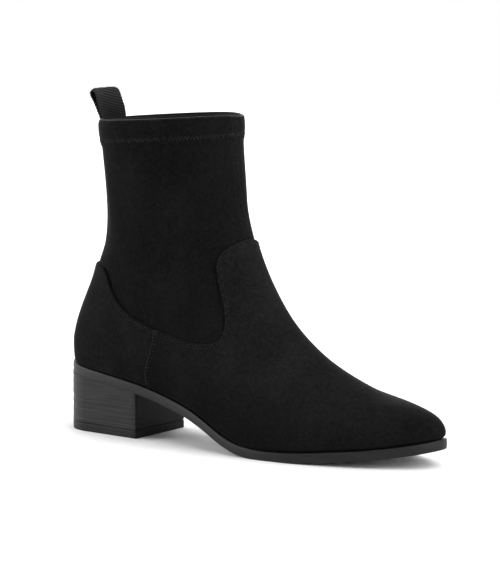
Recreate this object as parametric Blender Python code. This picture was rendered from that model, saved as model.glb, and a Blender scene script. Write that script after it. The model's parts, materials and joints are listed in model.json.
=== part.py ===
"""Right ankle boot in black suede: hollow upper, vamp, counter, pull loop, insole, outsole, heel, top lift.

Sizes are in millimetres in the frame of the last: x runs from the heel to the toe, y to the inner side of
the foot and z up from the floor. The pieces hang on an empty that centres the boot over the floor's origin.
"""

import math

import bpy
import numpy as np

MM = 0.001


def table(names, rows):
    """Rows of numbers as a dict of named columns."""
    return dict(zip(names, np.array(rows, float).T))


# Thicknesses and clearances
GAP = 0.3
WALL = 1.8
HEM = 0.8
HEM_LEVEL = 11.35
HEM_STEP = 0.04
RIM_CROWN = 0.8
OVERLAY_GAP = 0.4
OVERLAY = 1.3
SOLE = 5.9
SOLE_MARGIN = 2.5
INSOLE = 3.0
INSOLE_INSET = 2.2

# Heel block: straight breast, sides drawing in to a round back
HEEL_BACK = -6.8
HEEL_BREAST = 56.0
HEEL_HALF = 24.5
HEEL_DRAW = math.radians(4.0)
HEEL_ARC_STEPS = 10
HEEL_SIDE_STEPS = 5
LIFT = 5.0

# Shaft: how far it stands to the inner side, and how much higher its inner side is
SHAFT_LEAN = 3.0
COLLAR_RISE = 1.2
RISE_FROM_LEVEL = 9.0
COLLAR_LEVEL = 12.0
COLLAR_HALF = 37.0

# Pull loop: a tape folded over, both ends caught in the hem at the back of the collar
TAPE = 0.8
TAPE_WIDTH = 25.0
TAPE_COLUMNS = 5
TAPE_STEPS = 41
TAPE_BACK_RADIUS = 25.0
TAPE_FLATTENING = 0.85
TAPE_RISE = 14.0

# Side seam between counter and vamp, as an angle round the last
SEAM_FOOT = math.radians(63.2)
SEAM_SWEEP = math.radians(14.3)
SEAM_POWER = 2.2
SEAM_GAP = math.radians(0.1)
VAMP_WARP = math.radians(40.0)

SLOPE_STEP = 0.001
SHARP_ANGLE = math.radians(40.0)

# Rings of the last from the feather line to the collar: the middle of the back and of the front, half widths
# between them, and how far the ring follows the underside of the foot
RING_COLUMNS = ("back_x", "back_z", "front_x", "front_z", "w24", "w50", "w78", "w108", "w134", "w156", "foot")
RINGS = table(RING_COLUMNS, (
    (-4.0, 42.0, 249.8, 15.5, 17.5, 23.0, 23.5, 34.0, 28.0, 15.0, 1.00),
    (-4.5, 49.0, 249.6, 21.0, 18.0, 25.5, 26.5, 36.0, 30.0, 16.0, 0.85),
    (-5.0, 57.0, 244.6, 26.5, 17.5, 26.0, 28.0, 35.5, 29.0, 15.5, 0.65),
    (-3.5, 66.0, 232.0, 31.5, 16.5, 25.5, 28.5, 33.5, 26.0, 13.5, 0.45),
    (-0.5, 75.0, 207.0, 37.7, 15.5, 24.5, 28.5, 31.0, 23.0, 12.0, 0.30),
    (3.5, 84.0, 176.8, 51.5, 14.5, 23.5, 28.0, 29.0, 21.5, 11.5, 0.20),
    (8.0, 94.0, 153.2, 70.0, 13.5, 22.5, 27.5, 27.5, 20.5, 11.0, 0.12),
    (12.0, 105.0, 136.2, 92.0, 13.0, 23.0, 28.0, 27.5, 20.5, 11.0, 0.06),
    (17.0, 118.0, 123.5, 115.0, 12.5, 24.0, 30.0, 29.0, 21.5, 12.0, 0.03),
    (19.5, 134.0, 115.0, 137.0, 13.0, 26.0, 32.5, 31.5, 23.5, 13.5, 0.00),
    (19.8, 152.5, 111.5, 157.5, 14.0, 28.0, 35.0, 34.5, 26.0, 14.8, 0.00),
    (18.0, 172.0, 109.4, 177.0, 14.2, 28.6, 36.5, 36.0, 27.0, 15.5, 0.00),
    (15.2, 191.5, 108.6, 195.5, 14.1, 28.4, 37.0, 36.5, 27.5, 15.8, 0.00),
))
RING_NUMBERS = np.arange(len(RINGS["foot"]), dtype=float)

# Angles from the heel, in degrees, at which a ring's half widths stand
STATIONS = {"w24": 24.0, "w50": 50.0, "w78": 78.0, "w108": 108.0, "w134": 134.0, "w156": 156.0}

# Sideways curve of the foot: how far its centre line stands to the inner side at x
SWING = table(("x", "shift"), (
    (0.0, 0.0), (60.0, -1.0), (120.0, -4.0), (165.0, 0.0), (200.0, 3.2), (235.0, 5.5), (255.0, 6.0),
))

# Side profile of the feather line: seat, arch, tread and toe spring
UNDERSIDE = table(("x", "z"), (
    (-14.0, 44.5), (0.0, 42.2), (30.0, 38.2), (58.0, 34.0), (82.0, 28.2), (101.0, 22.4), (114.0, 17.0),
    (127.0, 11.0), (138.0, 7.5), (147.0, 6.2), (174.0, 6.2), (192.0, 7.8), (212.0, 9.9), (235.0, 13.0),
    (258.0, 17.5),
))

# Upper edge of counter, quarter and tongue: ring level at angles from the heel in degrees
EDGE = table(("angle", "level"), (
    (0.0, 6.89), (20.0, 6.89), (36.0, 6.90), (43.0, 6.84), (47.0, 6.60), (52.0, 5.94), (57.0, 5.52),
    (64.0, 5.12), (71.0, 4.97), (78.0, 4.88), (87.0, 4.98), (96.0, 5.06), (104.0, 5.17), (111.0, 5.32),
    (117.0, 5.56), (121.5, 5.82), (125.5, 6.12), (129.0, 6.50), (131.0, 6.84), (133.0, 7.24),
    (136.0, 7.64), (141.0, 7.92), (149.0, 8.10), (159.0, 8.23), (170.0, 8.31), (180.0, 8.33),
))

# Columns of facets round the boot, closer where the panels turn, and rows of facets up its wall
ANGLES = np.radians((
    0.0, 9.0, 18.0, 27.0, 36.0, 43.0, 46.0, 49.0, 52.0, 57.0, 64.0, 71.0, 77.5, 82.0, 87.0, 92.0, 97.0,
    102.0, 107.0, 112.0, 117.0, 121.5, 125.5, 129.0, 132.0, 135.0, 139.0, 145.0, 153.0, 162.0, 171.0, 180.0,
))
SEAM_COLUMN = 12
OUTER_LEVELS = (
    0.0, 0.5, 1.0, 1.5, 2.0, 2.5, 3.0, 3.5, 4.0, 4.5, 5.0, 5.5, 6.0, 6.5, 7.0, 7.5, 8.0, 8.5, 9.2, 10.0, 10.7,
)
INNER_LEVELS = (11.4, 10.7, 10.0, 9.0, 8.0, 7.0, 6.0, 5.0, 4.0, 3.0, 2.2, 1.5, 0.8, 0.0)
PANEL_ROWS = np.array((0.0, 0.06, 0.12, 0.18, 0.25, 0.32, 0.4, 0.48, 0.56, 0.64, 0.72, 0.79, 0.86, 0.93, 1.0))

# Middle line of the tape in side view, from the collar's inner back edge
TAPE_PATH = table(("forward", "up"), (
    (-0.8, 1.1), (-1.0, 3.0), (-1.35, 5.0), (-1.8, 7.5), (-2.4, 10.0), (-3.0, 12.5), (-3.7, 15.0),
    (-4.5, 17.0), (-5.3, 18.4), (-6.2, 18.8), (-7.1, 18.2), (-7.3, 16.8), (-6.4, 14.4), (-5.3, 12.0),
    (-4.4, 9.6), (-3.6, 7.2), (-2.9, 5.0), (-2.3, 3.0), (-1.85, 1.1),
))

# Colour, roughness and metallic of each piece
LOOKS = {
    "upper": ((0.010, 0.010, 0.011), 0.95, 0.0),
    "vamp": ((0.011, 0.011, 0.012), 0.95, 0.0),
    "counter": ((0.011, 0.011, 0.012), 0.95, 0.0),
    "pull_loop": ((0.017, 0.017, 0.018), 0.80, 0.0),
    "insole": ((0.020, 0.019, 0.019), 0.60, 0.0),
    "outsole": ((0.032, 0.032, 0.035), 0.45, 0.0),
    "heel": ((0.036, 0.036, 0.039), 0.45, 0.0),
    "top_lift": ((0.024, 0.024, 0.025), 0.60, 0.0),
}


def hermite(part, span, start, end, start_slope, end_slope):
    """Cubic between two knots, at a part of the span between them."""
    rest = 1 - part
    return (
        (1 + 2 * part) * rest ** 2 * start
        + part * rest ** 2 * span * start_slope
        + part ** 2 * (3 - 2 * part) * end
        - part ** 2 * rest * span * end_slope
    )


def smooth(knots, values, at):
    """Cubic curve through the values at the knots, its slopes taken from the neighbouring knots."""
    slopes = np.gradient(values, knots)
    low = np.clip(np.searchsorted(knots, at, side="right") - 1, 0, len(knots) - 2)
    span = knots[low + 1] - knots[low]
    part = (at - knots[low]) / span
    return hermite(part, span, values[low], values[low + 1], slopes[low], slopes[low + 1])


def underside(x):
    return smooth(UNDERSIDE["x"], UNDERSIDE["z"], x)


def half_width(ring, angle):
    """Half width of each ring at its angle: an odd curve through the stations, so both ends are round."""
    stations = np.radians(list(STATIONS.values()))
    widths = np.stack([ring[name] for name in STATIONS], axis=1)
    nought = np.zeros((len(widths), 1))
    knots = np.concatenate((-stations[1::-1], (0.0,), stations, (math.pi,), 2 * math.pi - stations[:-3:-1]))
    values = np.concatenate((-widths[:, 1::-1], nought, widths, nought, -widths[:, :-3:-1]), axis=1)
    slopes = np.gradient(values, knots, axis=1)
    row = np.arange(len(widths))
    low = np.clip(np.searchsorted(knots, angle, side="right") - 1, 0, len(knots) - 2)
    span = knots[low + 1] - knots[low]
    part = (angle - knots[low]) / span
    return hermite(part, span, values[row, low], values[row, low + 1], slopes[row, low], slopes[row, low + 1])


def last(angle, level):
    """Points of the boot's form. Angle 0 is the heel's back, pi the toe, and the outer side lies between."""
    angle, level = np.broadcast_arrays(np.asarray(angle, float), np.asarray(level, float))
    shape = angle.shape
    angle = np.mod(angle.ravel(), 2 * math.pi)
    level = level.ravel()
    side = np.where(angle <= math.pi, -1.0, 1.0)
    angle = np.where(angle <= math.pi, angle, 2 * math.pi - angle)
    ring = {name: smooth(RING_NUMBERS, column, level) for name, column in RINGS.items()}
    feather = {name: column[0] for name, column in RINGS.items()}
    width = half_width(ring, angle)
    foot = np.clip(ring["foot"], 0.0, 1.0)
    along = (1 - np.cos(angle)) / 2
    x = ring["back_x"] + (ring["front_x"] - ring["back_x"]) * along
    below_x = feather["back_x"] + (feather["front_x"] - feather["back_x"]) * along
    below_z = feather["back_z"] + (feather["front_z"] - feather["back_z"]) * along
    rise = np.clip((level - RISE_FROM_LEVEL) / (COLLAR_LEVEL - RISE_FROM_LEVEL), 0.0, 1.0)
    z = ring["back_z"] + (ring["front_z"] - ring["back_z"]) * along
    z += foot * (underside(below_x) - below_z) + COLLAR_RISE * rise * side * width / COLLAR_HALF
    swing = smooth(SWING["x"], SWING["shift"], np.clip(x, SWING["x"][0], SWING["x"][-1]))
    y = side * width + np.sqrt(foot) * swing + SHAFT_LEAN * (1 - foot) ** 2
    return np.stack((x, y, z), axis=-1).reshape(shape + (3,))


def shell(angle, level, out):
    """Points at a distance outside the last. On the feather line they move level, along the underside."""
    angle, level, out = np.broadcast_arrays(
        np.asarray(angle, float), np.asarray(level, float), np.asarray(out, float),
    )
    above = np.clip(level + SLOPE_STEP, 0.0, COLLAR_LEVEL)
    below = np.clip(level - SLOPE_STEP, 0.0, COLLAR_LEVEL)
    round_last = last(angle + SLOPE_STEP, level) - last(angle - SLOPE_STEP, level)
    up_last = last(angle, above) - last(angle, below)
    away = np.cross(round_last, up_last)
    at_feather = (level <= 0.0)[..., None]
    level_away = np.stack((round_last[..., 1], -round_last[..., 0], 0 * round_last[..., 0]), axis=-1)
    away = np.where(at_feather, level_away, away)
    away /= np.linalg.norm(away, axis=-1, keepdims=True)
    points = last(angle, level) + away * out[..., None]
    points[..., 2] = np.where(at_feather[..., 0], underside(points[..., 0]), points[..., 2])
    return points


def round_angles():
    """All columns of facets once round the boot."""
    return np.concatenate((ANGLES, 2 * math.pi - ANGLES[-2:0:-1]))


def edge_level(angle):
    folded = np.abs(np.mod(angle + math.pi, 2 * math.pi) - math.pi)
    return smooth(EDGE["angle"], EDGE["level"], np.degrees(folded))


def ring_faces(rows, columns, closed):
    """Faces between neighbouring closed rings, and from the last ring to the first where it is closed."""
    faces = []
    for row in range(rows if closed else rows - 1):
        upper_row = (row + 1) % rows
        for column in range(columns):
            right = (column + 1) % columns
            faces.append((
                row * columns + column, row * columns + right,
                upper_row * columns + right, upper_row * columns + column,
            ))
    return faces


def ladder_faces(first, columns):
    """Faces across a ring of points whose first and middle points are the ends of the ladder."""
    half = columns // 2
    faces = []
    for rung in range(half):
        left = first + rung
        next_left = first + rung + 1
        right = first + (columns - rung) % columns
        next_right = first + (columns - rung - 1) % columns
        corners = dict.fromkeys((left, next_left, next_right, right))
        faces.append(tuple(corners))
    return faces


def slab(top, bottom):
    """Closed solid between two rings of points of the same count, each filled across as a ladder."""
    columns = len(top)
    points = np.concatenate((bottom, top))
    faces = ring_faces(2, columns, False)
    faces += [face[::-1] for face in ladder_faces(0, columns)]
    faces += ladder_faces(columns, columns)
    return points, faces


def sheet(outer, inner):
    """Closed solid between two grids of points of the same size."""
    rows, columns = outer.shape[:2]
    points = np.concatenate((outer.reshape(-1, 3), inner.reshape(-1, 3)))
    count = rows * columns
    faces = []
    for row in range(rows - 1):
        for column in range(columns - 1):
            corner = row * columns + column
            face = (corner, corner + 1, corner + columns + 1, corner + columns)
            faces.append(face)
            faces.append(tuple(count + index for index in face[::-1]))
    border = [column for column in range(columns)]
    border += [row * columns + columns - 1 for row in range(1, rows)]
    border += [(rows - 1) * columns + column for column in range(columns - 2, -1, -1)]
    border += [row * columns for row in range(rows - 2, 0, -1)]
    for start, end in zip(border, border[1:] + border[:1]):
        faces.append((end, start, count + start, count + end))
    return points, faces


def outward(points, faces):
    """The faces, turned round where the solid they close is inside out."""
    volume = 0.0
    for face in faces:
        for second, third in zip(face[1:], face[2:]):
            volume += np.dot(points[face[0]], np.cross(points[second], points[third]))
    return faces if volume > 0 else [face[::-1] for face in faces]


def make_upper():
    """One wall from the feather line to the collar: up outside, over the hem's rim and down inside."""
    angle = round_angles()
    rings = [shell(angle, level, 0.0) for level in OUTER_LEVELS]
    rings.append(shell(angle, HEM_LEVEL, 0.0))
    rings.append(shell(angle, HEM_LEVEL + HEM_STEP, HEM))
    rings.append(shell(angle, COLLAR_LEVEL, HEM))
    crown = shell(angle, COLLAR_LEVEL, (HEM - WALL) / 2)
    crown[:, 2] += RIM_CROWN
    rings.append(crown)
    rings.append(shell(angle, COLLAR_LEVEL, -WALL))
    rings += [shell(angle, level, -WALL) for level in INNER_LEVELS]
    return np.concatenate(rings), ring_faces(len(rings), len(angle), True)


def seam_angle(part_up):
    return SEAM_FOOT + SEAM_SWEEP * part_up ** SEAM_POWER


def panel(angle):
    """Overlay on the upper below its edge, from a grid of angles with one row for each of PANEL_ROWS."""
    level = PANEL_ROWS[:, None] * edge_level(angle)
    return sheet(shell(angle, level, OVERLAY_GAP + OVERLAY), shell(angle, level, OVERLAY_GAP))


def make_vamp():
    half = ANGLES[SEAM_COLUMN:]
    seam = seam_angle(PANEL_ROWS[:, None]) + SEAM_GAP
    pull = np.clip(1 - (half - half[0]) / VAMP_WARP, 0.0, 1.0)
    outer_side = half + (seam - half[0]) * pull
    return panel(np.concatenate((outer_side, 2 * math.pi - outer_side[:, -2::-1]), axis=1))


def make_counter():
    half = ANGLES[:SEAM_COLUMN + 1]
    seam = seam_angle(PANEL_ROWS[:, None]) - SEAM_GAP
    pull = (half / half[-1]) ** 2
    outer_side = half + (seam - half[-1]) * pull
    return panel(np.concatenate((-outer_side[:, :0:-1], outer_side), axis=1))


def outline(out):
    """Plan outline of the feather line moved outwards, with the underside's height."""
    return shell(round_angles(), 0.0, out)


def sole_bottom(x):
    """Height of the outsole's lower face, flat on the floor under the tread."""
    return np.maximum(underside(x) - GAP - SOLE, 0.0)


def make_outsole():
    top = outline(SOLE_MARGIN)
    bottom = top.copy()
    bottom[:, 2] = sole_bottom(top[:, 0])
    top[:, 2] -= GAP
    return slab(top, bottom)


def make_insole():
    bottom = outline(-INSOLE_INSET)
    top = bottom.copy()
    top[:, 2] += INSOLE
    return slab(top, bottom)


def heel_outline():
    """Outline of the heel in plan, from the back's middle round by the outer side to the breast and on."""
    reach = HEEL_BREAST - HEEL_BACK
    radius = (HEEL_HALF - reach * math.tan(HEEL_DRAW)) * math.cos(HEEL_DRAW) / (1 - math.sin(HEEL_DRAW))
    turn = np.linspace(0.0, math.pi / 2 - HEEL_DRAW, HEEL_ARC_STEPS)
    arc = np.column_stack((HEEL_BACK + radius * (1 - np.cos(turn)), -radius * np.sin(turn)))
    corner = np.array((HEEL_BREAST, -HEEL_HALF))
    steps = np.linspace(0.0, 1.0, HEEL_SIDE_STEPS)[1:, None]
    outer_side = np.concatenate((arc, arc[-1] + (corner - arc[-1]) * steps))
    breast = np.array(((HEEL_BREAST, 0.0),))
    inner_side = outer_side[:0:-1] * (1.0, -1.0)
    return np.concatenate((outer_side, breast, inner_side))


def make_heel():
    plan = heel_outline()
    bottom = np.column_stack((plan, np.full(len(plan), LIFT + GAP)))
    top = np.column_stack((plan, sole_bottom(plan[:, 0]) - GAP))
    return slab(top, bottom)


def make_top_lift():
    plan = heel_outline()
    bottom = np.column_stack((plan, np.zeros(len(plan))))
    top = np.column_stack((plan, np.full(len(plan), LIFT)))
    return slab(top, bottom)


def make_pull_loop():
    """The tape swept along its folded path, bent across with the collar's back and flatter on top."""
    rows = np.linspace(0.0, 1.0, len(TAPE_PATH["up"]))
    steps = np.linspace(0.0, 1.0, TAPE_STEPS)
    path = np.stack([smooth(rows, TAPE_PATH[name], steps) for name in ("forward", "up")], axis=1)
    slope = np.gradient(path, axis=0)
    slope /= np.linalg.norm(slope, axis=1, keepdims=True)
    normal = np.column_stack((-slope[:, 1], slope[:, 0]))
    across = np.linspace(-TAPE_WIDTH / 2, TAPE_WIDTH / 2, TAPE_COLUMNS)
    bend = 1 - TAPE_FLATTENING * np.clip(path[:, 1] / TAPE_RISE, 0.0, 1.0)
    shift = bend[:, None] * across ** 2 / (2 * TAPE_BACK_RADIUS)
    tilt = across * COLLAR_RISE / COLLAR_HALF
    start = shell(0.0, COLLAR_LEVEL, -WALL)
    faces = []
    for side in (TAPE / 2, -TAPE / 2):
        line = path + side * normal
        x = start[0] + line[:, :1] + shift
        y = start[1] + np.broadcast_to(across, x.shape)
        z = start[2] + line[:, 1:] + tilt
        faces.append(np.stack((x, y, z), axis=-1))
    return sheet(*faces)


def material(name):
    colour, roughness, metallic = LOOKS[name]
    made = bpy.data.materials.new(name)
    made.use_nodes = True
    shader = made.node_tree.nodes["Principled BSDF"]
    shader.inputs["Base Color"].default_value = (*colour, 1.0)
    shader.inputs["Roughness"].default_value = roughness
    shader.inputs["Metallic"].default_value = metallic
    made.diffuse_color = (*colour, 1.0)
    return made


def add_piece(name, points, faces, parent):
    mesh = bpy.data.meshes.new(name)
    mesh.from_pydata((points * MM).tolist(), [], outward(points, faces))
    mesh.shade_smooth()
    mesh.set_sharp_from_angle(angle=SHARP_ANGLE)
    mesh.materials.append(material(name))
    piece = bpy.data.objects.new(name, mesh)
    piece.parent = parent
    bpy.context.scene.collection.objects.link(piece)


def main():
    for old in list(bpy.data.objects):
        bpy.data.objects.remove(old)
    pieces = {
        "upper": make_upper(),
        "vamp": make_vamp(),
        "counter": make_counter(),
        "pull_loop": make_pull_loop(),
        "insole": make_insole(),
        "outsole": make_outsole(),
        "heel": make_heel(),
        "top_lift": make_top_lift(),
    }
    cloud = np.concatenate([points for points, _ in pieces.values()])
    middle = (cloud.min(axis=0) + cloud.max(axis=0)) / 2 * MM
    boot = bpy.data.objects.new("boot", None)
    boot.location = (-middle[0], -middle[1], 0.0)
    bpy.context.scene.collection.objects.link(boot)
    for name, (points, faces) in pieces.items():
        add_piece(name, points, faces, boot)


main()
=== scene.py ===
"""Looks of the right suede ankle boot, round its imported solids.

Sizes are in millimetres in the frame of the last, as in the part's source: x runs from the heel to the toe,
y to the inner side of the foot and z up from the floor. place() turns them into metres in the row's frame.
"""

import json
import math

import bpy
import numpy as np
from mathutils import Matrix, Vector
from mathutils.kdtree import KDTree


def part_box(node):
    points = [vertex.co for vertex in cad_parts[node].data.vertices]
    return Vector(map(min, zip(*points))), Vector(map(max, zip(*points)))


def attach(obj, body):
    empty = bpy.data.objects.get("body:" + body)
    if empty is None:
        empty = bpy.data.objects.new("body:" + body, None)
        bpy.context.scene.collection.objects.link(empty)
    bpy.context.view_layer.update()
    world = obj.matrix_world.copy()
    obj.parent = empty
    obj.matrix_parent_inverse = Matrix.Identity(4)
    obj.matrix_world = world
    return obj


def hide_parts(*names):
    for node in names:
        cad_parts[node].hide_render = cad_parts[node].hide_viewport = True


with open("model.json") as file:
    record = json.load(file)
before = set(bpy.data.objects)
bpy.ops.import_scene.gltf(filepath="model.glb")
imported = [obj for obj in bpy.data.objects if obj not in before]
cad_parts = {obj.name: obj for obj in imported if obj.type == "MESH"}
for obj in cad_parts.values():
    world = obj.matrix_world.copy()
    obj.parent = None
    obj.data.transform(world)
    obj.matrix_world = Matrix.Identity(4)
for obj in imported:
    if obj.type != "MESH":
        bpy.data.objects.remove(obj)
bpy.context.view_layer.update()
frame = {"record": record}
MM = 0.001
TURN = 2 * math.pi


def table(names, rows):
    """Rows of numbers as a dict of named columns of floats."""
    return dict(zip(names, np.array(rows, float).T))


# Thicknesses and clearances of the solids
GAP = 0.3
WALL = 1.8
HEM_LEVEL = 11.35
OVERLAY_GAP = 0.4
OVERLAY = 1.3
SOLE = 5.9
SOLE_MARGIN = 2.5
INSOLE = 3.0
INSOLE_INSET = 2.2

# Heel block
HEEL_BACK = -6.8
HEEL_BREAST = 56.0
HEEL_HALF = 24.5
HEEL_DRAW = math.radians(4.0)
LIFT = 5.0

# Shaft and collar
SHAFT_LEAN = 3.0
COLLAR_RISE = 1.2
RISE_FROM_LEVEL = 9.0
COLLAR_LEVEL = 12.0
COLLAR_HALF = 37.0

# Pull loop
TAPE = 0.8
TAPE_WIDTH = 25.0
TAPE_BACK_RADIUS = 25.0
TAPE_FLATTENING = 0.85
TAPE_RISE = 14.0

# Side seam between counter and vamp
SEAM_FOOT = math.radians(63.2)
SEAM_SWEEP = math.radians(14.3)
SEAM_POWER = 2.2
SEAM_GAP = math.radians(0.1)
SEAM_TOP = SEAM_FOOT + SEAM_SWEEP
VAMP_WARP = math.radians(40.0)

# Steps for slopes and normals of the last
SLOPE_STEP = 0.001
NORMAL_STEP = 1.0

# Rings of the last from the feather line to the collar, as in the part's source
RING_NAMES = ("back_x", "back_z", "front_x", "front_z", "w24", "w50", "w78", "w108", "w134", "w156", "foot")
RINGS = table(RING_NAMES, (
    (-4, 42, 249.8, 15.5, 17.5, 23, 23.5, 34, 28, 15, 1),
    (-4.5, 49, 249.6, 21, 18, 25.5, 26.5, 36, 30, 16, 0.85),
    (-5, 57, 244.6, 26.5, 17.5, 26, 28, 35.5, 29, 15.5, 0.65),
    (-3.5, 66, 232, 31.5, 16.5, 25.5, 28.5, 33.5, 26, 13.5, 0.45),
    (-0.5, 75, 207, 37.7, 15.5, 24.5, 28.5, 31, 23, 12, 0.3),
    (3.5, 84, 176.8, 51.5, 14.5, 23.5, 28, 29, 21.5, 11.5, 0.2),
    (8, 94, 153.2, 70, 13.5, 22.5, 27.5, 27.5, 20.5, 11, 0.12),
    (12, 105, 136.2, 92, 13, 23, 28, 27.5, 20.5, 11, 0.06),
    (17, 118, 123.5, 115, 12.5, 24, 30, 29, 21.5, 12, 0.03),
    (19.5, 134, 115, 137, 13, 26, 32.5, 31.5, 23.5, 13.5, 0),
    (19.8, 152.5, 111.5, 157.5, 14, 28, 35, 34.5, 26, 14.8, 0),
    (18, 172, 109.4, 177, 14.2, 28.6, 36.5, 36, 27, 15.5, 0),
    (15.2, 191.5, 108.6, 195.5, 14.1, 28.4, 37, 36.5, 27.5, 15.8, 0),
))
RING_NUMBERS = np.arange(len(RINGS["foot"]), dtype=float)
STATIONS = {"w24": 24.0, "w50": 50.0, "w78": 78.0, "w108": 108.0, "w134": 134.0, "w156": 156.0}

SWING = table(("x", "shift"), ((0, 0), (60, -1), (120, -4), (165, 0), (200, 3.2), (235, 5.5), (255, 6)))

UNDERSIDE = table(("x", "z"), (
    (-14, 44.5), (0, 42.2), (30, 38.2), (58, 34), (82, 28.2), (101, 22.4), (114, 17), (127, 11),
    (138, 7.5), (147, 6.2), (174, 6.2), (192, 7.8), (212, 9.9), (235, 13), (258, 17.5),
))

EDGE = table(("angle", "level"), (
    (0, 6.89), (20, 6.89), (36, 6.9), (43, 6.84), (47, 6.6), (52, 5.94), (57, 5.52),
    (64, 5.12), (71, 4.97), (78, 4.88), (87, 4.98), (96, 5.06), (104, 5.17), (111, 5.32),
    (117, 5.56), (121.5, 5.82), (125.5, 6.12), (129, 6.5), (131, 6.84), (133, 7.24),
    (136, 7.64), (141, 7.92), (149, 8.1), (159, 8.23), (170, 8.31), (180, 8.33),
))

TAPE_PATH = table(("forward", "up"), (
    (-0.8, 1.1), (-1, 3), (-1.35, 5), (-1.8, 7.5), (-2.4, 10), (-3, 12.5), (-3.7, 15),
    (-4.5, 17), (-5.3, 18.4), (-6.2, 18.8), (-7.1, 18.2), (-7.3, 16.8), (-6.4, 14.4), (-5.3, 12),
    (-4.4, 9.6), (-3.6, 7.2), (-2.9, 5), (-2.3, 3), (-1.85, 1.1),
))

# Where the row's frame puts the origin of the last
HEEL_LOW, HEEL_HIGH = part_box("heel")
SHIFT = np.array((HEEL_LOW.x / MM - HEEL_BACK, (HEEL_LOW.y + HEEL_HIGH.y) / 2 / MM, 0.0))

# Grids of the upper: columns round it, closer at the front seam, and rows up it
COLUMN = math.radians(1.5)
SEAM_COLUMN = math.radians(0.25)
SEAM_SPAN = math.radians(7.0)
HIDDEN_LEVEL = 4.5
HEM_FROM_LEVEL = 11.05
HIDDEN_ROWS = 10
SHAFT_ROWS = 112
HEM_ROWS = 46
RIM_ROWS = 9
RIM_HIGHLIGHT_ROWS = 2
INNER_ROWS = 44
RIM_RISE = 1.0
DIP = 0.10
DIP_MIDDLE = math.pi + 0.35
DIP_HALF = 0.5

# Hem in section: height above its stitch line and how far it stands out
HEM_PITCH = 19.5
HEM_SHAPE = table(("up", "out"), (
    (-9, 0), (-5, 0), (-3.2, 0.12), (-1.9, 0.52), (-0.9, 0.7), (0, 0.72), (0.9, 0.78), (2.5, 0.95),
    (5.5, 1.1), (9, 0.97), (11, 0.76), (12, 0.46), (12.7, 0.14),
))

# Front seam of the shaft in section: distance from its middle and how far it stands out
SEAM_SHAPE = table(("across", "out"), (
    (0, 0), (0.5, 0.08), (1.7, 0.1), (3.2, 0.1), (4, 0.03), (4.8, 0), (9, 0),
))

# Soft pulls in the shaft: middle, half lengths round and up, in degrees and levels, and depth
PULLS = table(("angle", "level", "round", "up", "depth"), (
    (40, 9.2, 7, 1.6, 0.35), (62, 8, 6, 1.3, -0.25), (98, 8.9, 8, 1.8, 0.3),
    (128, 9.3, 7, 1.4, -0.3), (150, 8.9, 9, 0.35, 0.3), (150, 9.6, 10, 0.35, 0.22),
    (300, 9, 9, 1.6, 0.3), (255, 8.2, 8, 1.5, -0.25), (210, 9, 9, 0.35, 0.3),
))

# Panels: columns, even rows, rows by distance from the edge and from the feather line, and their edges' form
PANEL_COLUMN = math.radians(0.75)
PANEL_EVEN_ROWS = 62
SEAM_COLUMNS = np.radians((0.0, 0.1, 0.2, 0.3, 0.45, 0.6, 0.75, 0.9, 1.1, 1.3, 1.5, 1.7, 2.0, 2.4))
EDGE_ROWS = np.array((9.0, 7.6, 6.4, 5.4, 4.6, 4.0, 3.5, 3.0, 2.5, 2.1, 1.7, 1.3, 0.9, 0.6, 0.35, 0.15, 0.0))
FOOT_ROWS = np.array((0.0, 0.35, 0.8, 1.4, 2.2, 3.2))
EDGE_SAMPLES = 3000
ROLL = 0.8
ROLL_LEAST = 0.3
FOOT_TUCK = 1.5
FOOT_ROLL = 2.2
RAW_AND_HIGHLIT_COLUMNS = 3
SEAM_ROLL = 0.6
SEAM_DROP = 0.10
LAP = 0.35
LAP_REACH = 5.0

# Stitches: distance of the rows from the edge, pitch, length and thread, and the troughs they pull
STITCH_INSETS = (1.1, 2.6)
SIDE_INSETS = (1.4, 2.9)
STITCH_PITCH = 2.1
STITCH_LENGTH = 1.15
STITCH_WANDER = 0.12
THREAD = 0.45
TROUGH = 0.14
TROUGH_WIDTH = 0.40
PILLOW = 0.06
COUNTER_STITCH_FROM = math.radians(57.0)
SIDE_STITCH_FROM = 0.03
TACK_FROM = 0.93
TACK_INSETS = (1.7, 3.7)
TACK_STEP = 1.0
TACK_LENGTH = 1.6
HEM_ZIG_LEVEL = HEM_LEVEL + 0.05
HEM_ZIG_PITCH = 2.1
HEM_ZIG_HALF = 1.7
HEM_THREAD = 0.26
SEAM_STITCH_ACROSS = (-2.6, -0.9, 0.9, 2.6)
SEAM_PITCH = 1.25
SEAM_LENGTH = 1.1
SEAM_THREAD = 0.22
SEAM_STITCH_ABOVE = 0.1
SEAM_STITCH_BELOW = 0.05
THREAD_RINGS = np.linspace(-1.0, 1.0, 6)
THREAD_SIDES = 6
THREAD_SINK = 0.35
THREAD_BLUNT = 1.05
THREAD_TAPER = 4
TACK_LIFT = THREAD / 4
HEM_THREAD_LIFT = HEM_THREAD / 8

# Sole, heel and footbed
SOLE_COLUMN = math.radians(0.75)
SOLE_ANGLES = np.arange(0.0, TURN - SOLE_COLUMN / 2, SOLE_COLUMN)
SOLE_ROUND = 0.45
SOLE_BELLY = 0.15
SOLE_SIDE_ROWS = 8
ROUND_TURNS = np.linspace(0.0, math.pi / 2, 5)
ROUND_PARTS = [(1 - math.sin(turn), 1 - math.cos(turn)) for turn in ROUND_TURNS]
HEEL_CORNER = 0.9
HEEL_ARC_STEPS = 40
HEEL_SIDE_STEPS = 12
HEEL_CORNER_STEPS = 6
HEEL_ROWS = 170
LIFT_ROWS = 12
STACK_FIRST = 8.2
STACK_PITCH = 2.85
STACK_GROOVES = np.array((0.10, 0.05, 0.08, 0.03, 0.10, 0.05, 0.04, 0.10, 0.06, 0.05, 0.08))
STACK_GROOVE_WIDTH = 0.20
STACK_FADE = 20.0
STACK_INSETS = np.array((0.0, 0.12, 0.02, 0.20, 0.06, 0.24, 0.0, 0.14, 0.05, 0.22, 0.08, 0.0))
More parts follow.
